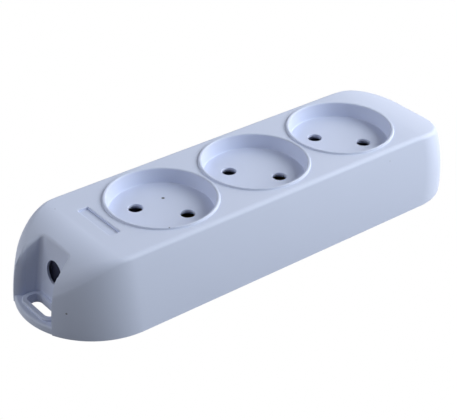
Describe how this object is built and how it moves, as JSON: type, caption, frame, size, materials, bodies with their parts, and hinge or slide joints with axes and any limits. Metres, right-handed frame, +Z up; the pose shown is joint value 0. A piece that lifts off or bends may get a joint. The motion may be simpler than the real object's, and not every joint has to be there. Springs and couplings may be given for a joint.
{
  "type": "triple socket block",
  "caption": "Long low moulded socket block with round recessed two-pin sockets in a row, a rounded nose with a cord inlet in a niche, a slotted hanging tab and a screwed base plate.",
  "frame": {"origin": "middle of the bounding box's underside, in the plane of the housing's foot", "axes": "+X along the block to its closed end, -X to the nose with the cord inlet, +Y across the block, +Z up out of the sockets"},
  "size_m": [0.1863, 0.0584, 0.0287],
  "materials": {
    "housing_plastic": "satin moulded plastic, pale blue-white",
    "base_plastic": "matt moulded plastic",
    "brass": "stamped, bare",
    "steel": "zinc plated",
    "spring_steel": "tempered, bare"
  },
  "bodies": {
    "root": {"housing": "housing_plastic", "base_plate": "base_plastic", "cord_clamp": "base_plastic", "base_screw_1": "steel", "base_screw_2": "steel", "base_screw_3": "steel", "base_screw_4": "steel", "clamp_screw_left": "steel", "clamp_screw_right": "steel", "contact_rail_left": "brass", "contact_rail_right": "brass", "contact_clip_1_left": "brass", "contact_clip_1_right": "brass", "contact_clip_2_left": "brass", "contact_clip_2_right": "brass", "contact_clip_3_left": "brass", "contact_clip_3_right": "brass", "clip_spring_1_left": "spring_steel", "clip_spring_1_right": "spring_steel", "clip_spring_2_left": "spring_steel", "clip_spring_2_right": "spring_steel", "clip_spring_3_left": "spring_steel", "clip_spring_3_right": "spring_steel", "rivet_1_left": "brass", "rivet_1_right": "brass", "rivet_2_left": "brass", "rivet_2_right": "brass", "rivet_3_left": "brass", "rivet_3_right": "brass", "terminal_nut_left": "steel", "terminal_nut_right": "steel", "terminal_screw_left": "steel", "terminal_screw_right": "steel", "terminal_washer_left": "steel", "terminal_washer_right": "steel"}
  },
  "joints": []
}
